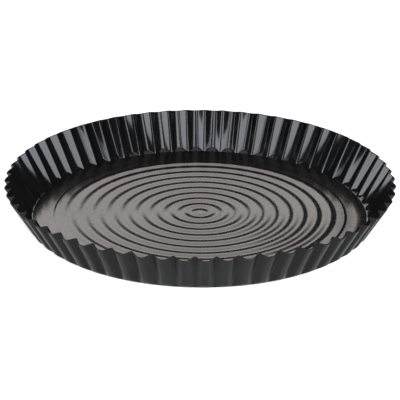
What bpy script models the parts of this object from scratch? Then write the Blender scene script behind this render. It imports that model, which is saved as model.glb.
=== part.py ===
"""Fluted tart pan: a fluted ring with an inward flange, and a loose rippled base that rests on it.

Metres, +Z up. The pan stands on z = 0 with its axis on the Z axis, and a cusp of the fluting
points along each of +X, -X, +Y and -Y.
"""

import math

import bpy

# Fluted ring, measured on the outside of the sheet
SHEET_THICKNESS = 0.0008
FLUTE_COUNT = 60
CROWN_RADIUS = 0.1400
CROWN_HEIGHT = 0.0277
CUSP_RADIUS = 0.1366
CUSP_HEIGHT = 0.0295

# Section of one flute as (place across it, share of its depth that it comes inward there):
# a shallow crown, straight flanks, and a narrow cusp shared with the next flute
FLUTE_SECTION = ((-1.0, 1.0), (-0.9, 0.92), (-0.35, 0.11), (0.0, 0.0), (0.35, 0.11), (0.9, 0.92))

# Foot of the ring: the flat flange, its bend, and the sloped lands that the flutes end on
FLANGE_INNER_RADIUS = 0.1100
FLANGE_OUTER_RADIUS = 0.1207
BEND_RADIUS = 0.1213
BEND_HEIGHT = 0.0003
FOOT_CUSP_RADIUS = 0.1216
FOOT_CUSP_HEIGHT = 0.0012
FOOT_CROWN_HEIGHT = 0.0026
FOOT_FLUTE_DEPTH = 0.0024

# Loose base, measured on its upper face
SEAT_GAP = 0.0003
BASE_RADIUS = 0.1200
MARGIN_HEIGHT = 2 * SHEET_THICKNESS + SEAT_GAP
MARGIN_INNER_RADIUS = 0.1060
FIELD_OUTER_RADIUS = 0.1040
FIELD_HEIGHT = MARGIN_HEIGHT + 0.0003
RIPPLE_COUNT = 10
RIPPLE_FIRST_RADIUS = 0.0025
RIPPLE_PITCH = 0.01015
RIPPLE_HEIGHT = 0.0005
BASE_STEPS = 64


def clear_scene():
    for item in list(bpy.data.objects):
        bpy.data.objects.remove(item, do_unlink=True)


def new_collection(name):
    collection = bpy.data.collections.new(name)
    bpy.context.scene.collection.children.link(collection)
    return collection


def coated_steel(name, colour, roughness):
    material = bpy.data.materials.new(name)
    material.use_nodes = True
    shader = material.node_tree.nodes["Principled BSDF"]
    shader.inputs["Base Color"].default_value = (*colour, 1.0)
    shader.inputs["Roughness"].default_value = roughness
    return material


def add_object(collection, name, vertices, edges, faces, material):
    mesh = bpy.data.meshes.new(name)
    mesh.from_pydata(vertices, edges, faces)
    mesh.materials.append(material)
    mesh.polygons.foreach_set("use_smooth", [True] * len(mesh.polygons))
    mesh.update()
    item = bpy.data.objects.new(name, mesh)
    collection.objects.link(item)
    return item


def add_sheet_thickness(item):
    """Thicken an open surface away from its facing side, into the metal."""
    solidify = item.modifiers.new("Sheet thickness", 'SOLIDIFY')
    solidify.thickness = SHEET_THICKNESS
    solidify.offset = -1.0
    solidify.use_even_offset = True


def ring_section(place, share):
    """Radius and height up the outside of the ring at one place across a flute.

    The wall is straight from its foot to the rim. A flute ends higher at its crown than at its
    cusps, so its foot runs as a V down to each cusp.
    """
    foot_height = FOOT_CROWN_HEIGHT + abs(place) * (FOOT_CUSP_HEIGHT - FOOT_CROWN_HEIGHT)
    cusp_slope = (CUSP_RADIUS - FOOT_CUSP_RADIUS) / (CUSP_HEIGHT - FOOT_CUSP_HEIGHT)
    cusp_radius = FOOT_CUSP_RADIUS + cusp_slope * (foot_height - FOOT_CUSP_HEIGHT)
    foot_radius = cusp_radius + FOOT_FLUTE_DEPTH * (1 - share)
    rim_radius = CROWN_RADIUS + share * (CUSP_RADIUS - CROWN_RADIUS)
    rim_height = CROWN_HEIGHT + share * (CUSP_HEIGHT - CROWN_HEIGHT)
    return (
        (FLANGE_INNER_RADIUS, 0.0),
        (FLANGE_OUTER_RADIUS, 0.0),
        (BEND_RADIUS, BEND_HEIGHT),
        (foot_radius, foot_height),
        (rim_radius, rim_height),
    )


def build_fluted_ring(collection, material):
    flute_angle = 2 * math.pi / FLUTE_COUNT
    vertices = []
    for flute in range(FLUTE_COUNT):
        for place, share in FLUTE_SECTION:
            angle = flute_angle * (flute + (place + 1) / 2)
            for radius, height in ring_section(place, share):
                vertices.append((radius * math.cos(angle), radius * math.sin(angle), height))
    rows = len(ring_section(0.0, 0.0))
    columns = FLUTE_COUNT * len(FLUTE_SECTION)
    faces = []
    for column in range(columns):
        following = (column + 1) % columns
        for row in range(rows - 1):
            faces.append((
                column * rows + row,
                following * rows + row,
                following * rows + row + 1,
                column * rows + row + 1,
            ))
    ring = add_object(collection, "fluted_ring", vertices, [], faces, material)
    add_sheet_thickness(ring)
    return ring


def base_profile():
    """Upper face of the base from its centre out: a small button, ten soft waves, and a lower margin."""
    points = [(0.0, FIELD_HEIGHT + RIPPLE_HEIGHT)]
    for ripple in range(RIPPLE_COUNT):
        crest = RIPPLE_FIRST_RADIUS + ripple * RIPPLE_PITCH
        if ripple > 0:
            points.append((crest - 3 * RIPPLE_PITCH / 8, FIELD_HEIGHT))
            points.append((crest - RIPPLE_PITCH / 8, FIELD_HEIGHT + RIPPLE_HEIGHT))
        points.append((crest + RIPPLE_PITCH / 8, FIELD_HEIGHT + RIPPLE_HEIGHT))
        points.append((crest + 3 * RIPPLE_PITCH / 8, FIELD_HEIGHT))
    points.append((FIELD_OUTER_RADIUS, FIELD_HEIGHT))
    points.append((MARGIN_INNER_RADIUS, MARGIN_HEIGHT))
    points.append((BASE_RADIUS, MARGIN_HEIGHT))
    return points


def build_loose_base(collection, material):
    vertices = [(radius, 0.0, height) for radius, height in base_profile()]
    edges = [(index, index + 1) for index in range(len(vertices) - 1)]
    base = add_object(collection, "loose_base", vertices, edges, [], material)
    screw = base.modifiers.new("Turned disc", 'SCREW')
    screw.axis = 'Z'
    screw.angle = 2 * math.pi
    screw.steps = BASE_STEPS
    screw.render_steps = BASE_STEPS
    screw.use_merge_vertices = True
    screw.merge_threshold = 0.00005
    screw.use_smooth_shade = True
    add_sheet_thickness(base)
    return base


clear_scene()
pan = new_collection("TartPan")
build_fluted_ring(pan, coated_steel("RingCoating", (0.035, 0.036, 0.038), 0.30))
build_loose_base(pan, coated_steel("BaseCoating", (0.055, 0.052, 0.051), 0.38))
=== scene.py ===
"""Looks of the fluted tart pan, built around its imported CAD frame."""

import math

import bpy
import numpy as np
from mathutils import Matrix, Vector


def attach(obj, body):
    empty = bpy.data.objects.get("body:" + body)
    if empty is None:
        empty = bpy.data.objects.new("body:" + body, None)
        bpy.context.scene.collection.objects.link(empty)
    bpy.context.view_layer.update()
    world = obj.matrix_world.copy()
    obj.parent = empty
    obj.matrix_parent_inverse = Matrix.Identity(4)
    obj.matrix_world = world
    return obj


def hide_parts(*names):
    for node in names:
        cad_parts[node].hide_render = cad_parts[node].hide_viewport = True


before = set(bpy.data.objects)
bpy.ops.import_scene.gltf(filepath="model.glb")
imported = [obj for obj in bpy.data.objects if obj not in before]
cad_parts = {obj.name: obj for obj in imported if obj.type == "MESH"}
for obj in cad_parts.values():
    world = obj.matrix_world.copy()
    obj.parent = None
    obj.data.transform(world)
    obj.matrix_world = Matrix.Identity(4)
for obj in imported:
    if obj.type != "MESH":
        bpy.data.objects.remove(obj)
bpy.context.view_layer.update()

# ---------------------------------------------------------------- sizes (metres)
SHEET = 0.0008
FLUTES = 60
CROWN_RADIUS = 0.1400
CROWN_HEIGHT = 0.0277
CUSP_RADIUS = 0.1366
CUSP_HEIGHT = 0.0295
FLANGE_INNER_RADIUS = 0.1100
BEND_RADIUS = 0.1212
FOOT_CUSP_RADIUS = 0.1216
FOOT_CUSP_HEIGHT = 0.0012
FOOT_CROWN_HEIGHT = 0.0026
FOOT_FLUTE_DEPTH = 0.0024
BEND_FILLET = 0.0008
FOOT_FILLET = 0.0009
# Angle of a flute's side against the rim circle, at places from its crown (0) to its cusp (1)
SIDE_PLACES = (0.0, 0.13, 0.28, 0.42, 0.85, 0.94, 1.0)
SIDE_DEGREES = (0.0, 4.0, 14.0, 36.0, 38.0, 30.0, 0.0)

MARGIN_HEIGHT = 0.0019
FIELD_HEIGHT = 0.0022
FIELD_OUTER_RADIUS = 0.1040
MARGIN_INNER_RADIUS = 0.1060
BASE_RADIUS = 0.1200
RIPPLES = 10
RIPPLE_FIRST_RADIUS = 0.0025
RIPPLE_PITCH = 0.01015
RIPPLE_HEIGHT = 0.0005
BUTTON_FLAT_RADIUS = 0.0015
MARGIN_MIDDLE_RADIUS = 0.112
EDGE_INSET = 0.0001
EDGE_BEVEL = 0.00008
POINTS_PER_RIPPLE = 12
BASE_COLUMNS = 256

# ---------------------------------------------------------------- coating
# Noise scales per metre, the part of the noise that is used, and what it does
CLOUD_SCALE = 45.0
HIGHLIGHT_AND_GLOSS_SCALE = 320.0
GRAIN_SCALE = 1500.0
NOISE_LOW, NOISE_HIGH = 0.3, 0.7
CLOUD_DARKEST, CLOUD_LIGHTEST = 0.75, 1.3
ROUGHNESS_SPREAD = 0.025
GRAIN_STRENGTH = 0.5
# Pointiness at which the painted highlight on sharp edges (rim, cusps) starts, and at which it is full
EDGE_HIGHLIGHT_START, EDGE_HIGHLIGHT_FULL = 0.53, 0.62
# Colour, colour of the painted highlight on sharp edges, roughness, depth of the orange peel, specular
# level
RING_OUTSIDE_COATING = ((0.008, 0.008, 0.0077), (0.14, 0.138, 0.135), 0.34, 0.00002, 0.09)
RING_INSIDE_COATING = ((0.006, 0.006, 0.006), (0.09, 0.09, 0.09), 0.13, 0.000004, 0.5)
BASE_COATING = ((0.010, 0.009, 0.0085), (0.03, 0.029, 0.028), 0.17, 0.000004, 0.5)

# ---------------------------------------------------------------- studio and camera
# The floor lies just under the pan, so that the two faces do not coincide
FLOOR_HEIGHT = -0.0001
FLOOR_HALF_SIZE = 4
FLOOR_ALBEDO = 0.85
FLOOR_GLOW = 0.75
WORLD_COLOUR = (0.6, 0.65, 0.7, 1)
WORLD_STRENGTH = 0.05
WARM_WHITE = (1.0, 0.93, 0.90)
NEUTRAL_WHITE = (1.0, 0.97, 0.95)
COOL_WHITE = (0.90, 0.92, 1.0)
BACK_PANEL_X, BACK_PANEL_Y, BACK_PANEL_Z = -0.35, 1.7, 1.22
SOFTBOX_DISTANCE = 1.2
SOFTBOX_RADIANCE = 5.5
SOFTBOXES = (
    # name, azimuth and elevation seen from the pan (degrees), width, height
    ("front_right_box", 151, 23, 1.45, 0.48),
    ("front_left_box", 243, 20, 0.90, 0.46),
    ("high_right_box", 156, 46, 0.38, 0.38),
    ("high_left_box", 196, 49, 0.24, 0.28),
)
# Angles in radians, lens and sensor in millimetres
CAMERA_ELEVATION = 0.4125
CAMERA_DISTANCE = 1.4664
CAMERA_TURN = math.radians(1.3)
LOOK_ELEVATION = -0.4051
ROLL = 0.0072
SENSOR_WIDTH = 36.0
LENS = 182.808
CLIP_END = 20


# ---------------------------------------------------------------- mesh helpers
def mesh_object(name, vertices, faces, material):
    mesh = bpy.data.meshes.new(name)
    mesh.from_pydata(vertices.tolist(), [], faces)
    mesh.materials.append(material)
    mesh.polygons.foreach_set("use_smooth", [True] * len(mesh.polygons))
    mesh.update()
    item = bpy.data.objects.new(name, mesh)
    bpy.context.scene.collection.objects.link(item)
    return item


def closed_grid_faces(columns, rows):
    """Quads of a grid that closes on itself both ways: columns go round the axis, rows round the sheet."""
    faces = []
    for column in range(columns):
        after = (column + 1) % columns
        for row in range(rows):
            up = (row + 1) % rows
            faces.append((column * rows + row, after * rows + row,
                          after * rows + up, column * rows + up))
    return faces


# ---------------------------------------------------------------- fluted ring
def inward_share(place):
    """How far the wall has come in across a flute: 0 at its crown, 1 at its cusp."""
    fine = np.linspace(0, 1, 2001)
    slope = np.tan(np.radians(np.interp(fine, SIDE_PLACES, SIDE_DEGREES)))
    depth = np.concatenate([[0], np.cumsum((slope[1:] + slope[:-1]) / 2)])
    return np.interp(np.abs(place), fine, depth / depth[-1])


def unit(vectors):
    return vectors / np.linalg.norm(vectors, axis=-1, keepdims=True)


def fillet(before, corner, after, cut, steps):
    """Points of a soft corner, from cut before it to cut after it."""
    start = corner + unit(before - corner) * cut[..., None]
    end = corner + unit(after - corner) * cut[..., None]
    places = np.linspace(0, 1, steps)[:, None, None]
    return (1 - places) ** 2 * start + 2 * places * (1 - places) * corner + places ** 2 * end


def ring_outside(places):
    """Radius and height of the ring's outer face, as (row, column, 2), from the flange up to the rim."""
    share = inward_share(places)
    ones = np.ones_like(share)
    flange_in = np.stack([FLANGE_INNER_RADIUS * ones, 0 * ones], -1)
    bend = np.stack([BEND_RADIUS * ones, 0 * ones], -1)
    # Crown to cusp as 0 to 1, without a kink where the place changes sign
    softness = 0.1
    soft_place = ((np.sqrt(places ** 2 + softness ** 2) - softness)
                  / (math.sqrt(1 + softness ** 2) - softness))
    foot_height = FOOT_CROWN_HEIGHT + soft_place * (FOOT_CUSP_HEIGHT - FOOT_CROWN_HEIGHT)
    cusp_slope = (CUSP_RADIUS - FOOT_CUSP_RADIUS) / (CUSP_HEIGHT - FOOT_CUSP_HEIGHT)
    foot_radius = (FOOT_CUSP_RADIUS + cusp_slope * (foot_height - FOOT_CUSP_HEIGHT)
                   + FOOT_FLUTE_DEPTH * (1 - share))
    foot = np.stack([foot_radius, foot_height], -1)
    rim = np.stack([CROWN_RADIUS + share * (CUSP_RADIUS - CROWN_RADIUS),
                    CROWN_HEIGHT + share * (CUSP_HEIGHT - CROWN_HEIGHT)], -1)
    # Neither fillet may take up half of the short slope between them
    room = 0.45 * np.linalg.norm(foot - bend, axis=-1)
    rows = [flange_in + (bend - flange_in) * share_out for share_out in (0.0, 0.02, 0.3, 0.6)]
    rows += list(fillet(flange_in, bend, foot, np.minimum(BEND_FILLET, room), 5))
    rows += list(fillet(bend, foot, rim, np.minimum(FOOT_FILLET, room), 6))
    wall_foot = rows[-1]
    rows += [wall_foot + (rim - wall_foot) * share_up
             for share_up in (0.12, 0.3, 0.5, 0.7, 0.86, 0.95, 0.985, 1.0)]
    return np.stack(rows, 0)


def build_ring(outside_material, inside_material):
    """Closed skin of the ring: outer face up, round the rim, inner face down, round the flange's edge."""
    half = np.linspace(0, 0.98, 18)
    across = np.concatenate([[-1.0], -half[:0:-1], half])
    columns_per_flute = len(across)
    step = 2 * math.pi / FLUTES
    positions = np.tile(across, FLUTES)
    angles = np.repeat(np.arange(FLUTES), columns_per_flute) * step + step * (positions + 1) / 2
    section = ring_outside(positions)
    outside = np.stack([section[..., 0] * np.cos(angles), section[..., 0] * np.sin(angles),
                        section[..., 1]], -1)
    around = np.roll(outside, -1, 1) - np.roll(outside, 1, 1)
    upward = np.gradient(outside, axis=0)
    inside = outside - unit(np.cross(around, upward)) * SHEET
    rim_up = unit(outside[-1] - outside[-2])
    rim = [outside[-1] + (inside[-1] - outside[-1]) * share + rim_up * SHEET * rise
           for share, rise in ((0.12, 0.14), (0.5, 0.22), (0.88, 0.14))]
    flange_in = unit(outside[0] - outside[1])
    inner_edge = [inside[0] + (outside[0] - inside[0]) * share + flange_in * SHEET * 0.2
                  for share in (0.25, 0.75)]
    loop = np.concatenate([outside, np.array(rim), inside[::-1], np.array(inner_edge)], 0)
    rows, columns = loop.shape[:2]
    vertices = loop.transpose(1, 0, 2).reshape(-1, 3)
    ring = mesh_object("ring_skin", vertices, closed_grid_faces(columns, rows), outside_material)
    ring.data.materials.append(inside_material)
    outside_rows = len(outside) + 1
    row_of_face = np.tile(np.arange(rows), columns)
    ring.data.polygons.foreach_set("material_index", (row_of_face >= outside_rows).astype(np.int32))
    return ring


# ---------------------------------------------------------------- loose base
def base_top():
    """Radius and height of the base's upper face, from its centre out."""
    crest_height = FIELD_HEIGHT + RIPPLE_HEIGHT
    points = [(0.0, crest_height), (BUTTON_FLAT_RADIUS, crest_height)]
    waves = RIPPLES - 0.5
    last_trough = RIPPLE_FIRST_RADIUS + waves * RIPPLE_PITCH
    for radius in np.linspace(RIPPLE_FIRST_RADIUS, last_trough, int(waves * POINTS_PER_RIPPLE) + 1):
        turn = 2 * math.pi * (radius - RIPPLE_FIRST_RADIUS) / RIPPLE_PITCH
        points.append((radius, FIELD_HEIGHT + RIPPLE_HEIGHT * 0.5 * (1 + math.cos(turn))))
    for share in np.linspace(0, 1, 7):
        fall = 0.5 * (1 - math.cos(math.pi * share)) * (FIELD_HEIGHT - MARGIN_HEIGHT)
        radius = FIELD_OUTER_RADIUS + share * (MARGIN_INNER_RADIUS - FIELD_OUTER_RADIUS)
        points.append((radius, FIELD_HEIGHT - fall))
    points += [(MARGIN_MIDDLE_RADIUS, MARGIN_HEIGHT), (BASE_RADIUS - SHEET / 2, MARGIN_HEIGHT)]
    return np.array(points)


def build_base(material):
    """Closed skin of the base: its section turned round the axis, with a pole above and below."""
    top = base_top()
    along = unit(np.gradient(top, axis=0))
    facing = np.stack([-along[:, 1], along[:, 0]], -1)
    under = top - facing * SHEET
    edge_middle = MARGIN_HEIGHT - SHEET / 2
    edge = np.array([(BASE_RADIUS - EDGE_INSET, MARGIN_HEIGHT - EDGE_BEVEL),
                     (BASE_RADIUS, edge_middle + EDGE_INSET),
                     (BASE_RADIUS, edge_middle - EDGE_INSET),
                     (BASE_RADIUS - EDGE_INSET, MARGIN_HEIGHT - SHEET + EDGE_BEVEL)])
    profile = np.concatenate([top[1:], edge, under[:0:-1]], 0)
    turn = np.linspace(0, 2 * math.pi, BASE_COLUMNS, endpoint=False)
    rows = len(profile)
    radii, heights = profile[None, :, 0], profile[None, :, 1]
    surface = np.stack([radii * np.cos(turn)[:, None], radii * np.sin(turn)[:, None],
                        np.repeat(heights, BASE_COLUMNS, 0)], -1).reshape(-1, 3)
    poles = np.array([(0, 0, top[0, 1]), (0, 0, under[0, 1])])
    vertices = np.concatenate([surface, poles], 0)
    upper_pole, lower_pole = BASE_COLUMNS * rows, BASE_COLUMNS * rows + 1
    faces = []
    for column in range(BASE_COLUMNS):
        here = column * rows
        after = (column + 1) % BASE_COLUMNS * rows
        for row in range(rows - 1):
            faces.append((here + row, here + row + 1, after + row + 1, after + row))
        faces.append((upper_pole, here, after))
        faces.append((lower_pole, after + rows - 1, here + rows - 1))
    return mesh_object("base_skin", vertices, faces, material)


# ---------------------------------------------------------------- materials
def noise(nodes, links, place, scale, detail):
    texture = nodes.new("ShaderNodeTexNoise")
    texture.inputs["Scale"].default_value = scale
    texture.inputs["Detail"].default_value = detail
    links.new(place, texture.inputs["Vector"])
    return texture.outputs["Fac"]


def map_range(nodes, links, value, source, target):
    """The value stretched from the source range to the target range."""
    node = nodes.new("ShaderNodeMapRange")
    node.inputs["From Min"].default_value, node.inputs["From Max"].default_value = source
    node.inputs["To Min"].default_value, node.inputs["To Max"].default_value = target
    links.new(value, node.inputs["Value"])
    return node.outputs["Result"]


def coated_steel(name, colour, edge_highlight_colour, roughness, grain_depth, specular):
    """Dark coating on steel: cloudy colour, uneven gloss, a fine orange peel, and sharp edges painted
    lighter as a painted highlight.
    """
    material = bpy.data.materials.new(name)
    material.use_nodes = True
    nodes = material.node_tree.nodes
    links = material.node_tree.links
    shader = nodes["Principled BSDF"]
    shader.inputs["Specular IOR Level"].default_value = specular
    place = nodes.new("ShaderNodeTexCoord").outputs["Object"]

    tint = nodes.new("ShaderNodeValToRGB")
    stops = ((NOISE_LOW, CLOUD_DARKEST), (NOISE_HIGH, CLOUD_LIGHTEST))
    for element, (position, shade) in zip(tint.color_ramp.elements, stops):
        element.position = position
        element.color = (*(shade * value for value in colour), 1)
    links.new(noise(nodes, links, place, CLOUD_SCALE, 4.0), tint.inputs["Fac"])

    # Painted highlight: sharp edges such as the rim and the flute cusps get a lighter colour, broken into
    # patches by noise; the same noise also makes the gloss uneven
    pointiness = nodes.new("ShaderNodeNewGeometry").outputs["Pointiness"]
    edges = map_range(nodes, links, pointiness, (EDGE_HIGHLIGHT_START, EDGE_HIGHLIGHT_FULL), (0, 1))
    highlight_and_gloss_noise = noise(nodes, links, place, HIGHLIGHT_AND_GLOSS_SCALE, 3.0)
    painted_highlight_mask = nodes.new("ShaderNodeMath")
    painted_highlight_mask.operation = 'MULTIPLY'
    links.new(edges, painted_highlight_mask.inputs[0])
    links.new(highlight_and_gloss_noise, painted_highlight_mask.inputs[1])
    blend = nodes.new("ShaderNodeMix")
    blend.data_type = 'RGBA'
    links.new(painted_highlight_mask.outputs["Value"], blend.inputs["Factor"])
    links.new(tint.outputs["Color"], blend.inputs["A"])
    blend.inputs["B"].default_value = (*edge_highlight_colour, 1)
    links.new(blend.outputs["Result"], shader.inputs["Base Color"])

    gloss = map_range(nodes, links, highlight_and_gloss_noise, (NOISE_LOW, NOISE_HIGH),
                      (roughness - ROUGHNESS_SPREAD, roughness + ROUGHNESS_SPREAD))
    links.new(gloss, shader.inputs["Roughness"])

    peel = nodes.new("ShaderNodeBump")
    peel.inputs["Distance"].default_value = grain_depth
    peel.inputs["Strength"].default_value = GRAIN_STRENGTH
    links.new(noise(nodes, links, place, GRAIN_SCALE, 2.0), peel.inputs["Height"])
    links.new(peel.outputs["Normal"], shader.inputs["Normal"])
    return material


ring = build_ring(coated_steel("ring_outside", *RING_OUTSIDE_COATING),
                  coated_steel("ring_inside", *RING_INSIDE_COATING))
base = build_base(coated_steel("base_coating", *BASE_COATING))
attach(ring, "ring")
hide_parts("fluted_ring")
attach(base, "base")
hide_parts("loose_base")


# ---------------------------------------------------------------- studio
def build_floor():
    half = FLOOR_HALF_SIZE
    corners = [(-half, -half), (half, -half), (half, half), (-half, half)]
    mesh = bpy.data.meshes.new("floor")
    mesh.from_pydata([(x, y, FLOOR_HEIGHT) for x, y in corners], [], [(0, 1, 2, 3)])
    item = bpy.data.objects.new("floor", mesh)
    bpy.context.scene.collection.objects.link(item)
    material = bpy.data.materials.new("pale_floor")
    material.use_nodes = True
    shader = material.node_tree.nodes["Principled BSDF"]
    shader.inputs["Base Color"].default_value = (FLOOR_ALBEDO, FLOOR_ALBEDO, FLOOR_ALBEDO, 1)
    shader.inputs["Roughness"].default_value = 0.9
    shader.inputs["Specular IOR Level"].default_value = 0.0
    shader.inputs["Emission Color"].default_value = (1, 1, 1, 1)
    shader.inputs["Emission Strength"].default_value = FLOOR_GLOW
    mesh.materials.append(material)
    return item


def set_world():
    world = bpy.data.worlds.new("studio")
    bpy.context.scene.world = world
    world.use_nodes = True
    background = world.node_tree.nodes["Background"]
    background.inputs["Color"].default_value = WORLD_COLOUR
    background.inputs["Strength"].default_value = WORLD_STRENGTH


def area_light(name, centre, size, target, colour, radiance):
    """A soft light that the pan reflects and the camera does not see."""
    light = bpy.data.lights.new(name, 'AREA')
    light.shape = 'RECTANGLE'
    light.size = size[0]
    light.size_y = size[1]
    light.color = colour
    light.energy = radiance * math.pi * size[0] * size[1]
    item = bpy.data.objects.new(name, light)
    bpy.context.scene.collection.objects.link(item)
    item.location = centre
    item.rotation_euler = (Vector(target) - Vector(centre)).to_track_quat('-Z', 'Y').to_euler()
    item.visible_camera = False


def direction(azimuth, elevation, distance):
    """A place seen from the pan: azimuth 0 is towards +Y, 90 towards +X."""
    a, e = math.radians(azimuth), math.radians(elevation)
    level = distance * math.cos(e)
    return (level * math.sin(a), level * math.cos(a), distance * math.sin(e))


def build_lights():
    """A panel behind, which the base mirrors, one above, and softboxes that the flutes mirror."""
    area_light("back_panel", (BACK_PANEL_X, BACK_PANEL_Y, BACK_PANEL_Z), (1.20, 1.16),
               (BACK_PANEL_X, 0, BACK_PANEL_Z), WARM_WHITE, 2.4)
    area_light("top_panel", (0, 0, 1.6), (1.2, 1.2), (0, 0, 0), NEUTRAL_WHITE, 0.8)
    for name, azimuth, elevation, width, height in SOFTBOXES:
        area_light(name, direction(azimuth, elevation, SOFTBOX_DISTANCE), (width, height),
                   (0, 0, 0), COOL_WHITE, SOFTBOX_RADIANCE)


def build_camera():
    """A long lens in front of the pan and above it, turned a little about the pan's axis."""
    data = bpy.data.cameras.new("camera")
    data.sensor_width = SENSOR_WIDTH
    data.lens = LENS
    data.clip_end = CLIP_END
    item = bpy.data.objects.new("camera", data)
    bpy.context.scene.collection.objects.link(item)
    forward = Vector((0, math.cos(LOOK_ELEVATION), math.sin(LOOK_ELEVATION)))
    right = Vector((1, 0, 0))
    up = right.cross(forward)
    right_rolled = right * math.cos(ROLL) + up * math.sin(ROLL)
    up_rolled = up * math.cos(ROLL) - right * math.sin(ROLL)
    axes = Matrix((right_rolled, up_rolled, -forward)).transposed()
    place = Vector((0, -CAMERA_DISTANCE * math.cos(CAMERA_ELEVATION),
                    CAMERA_DISTANCE * math.sin(CAMERA_ELEVATION)))
    pose = Matrix.Translation(place) @ axes.to_4x4()
    item.matrix_world = Matrix.Rotation(CAMERA_TURN, 4, 'Z') @ pose
    return item


floor = build_floor()
set_world()
build_lights()
bpy.context.scene.camera = build_camera()
bpy.context.scene.view_settings.view_transform = 'Standard'
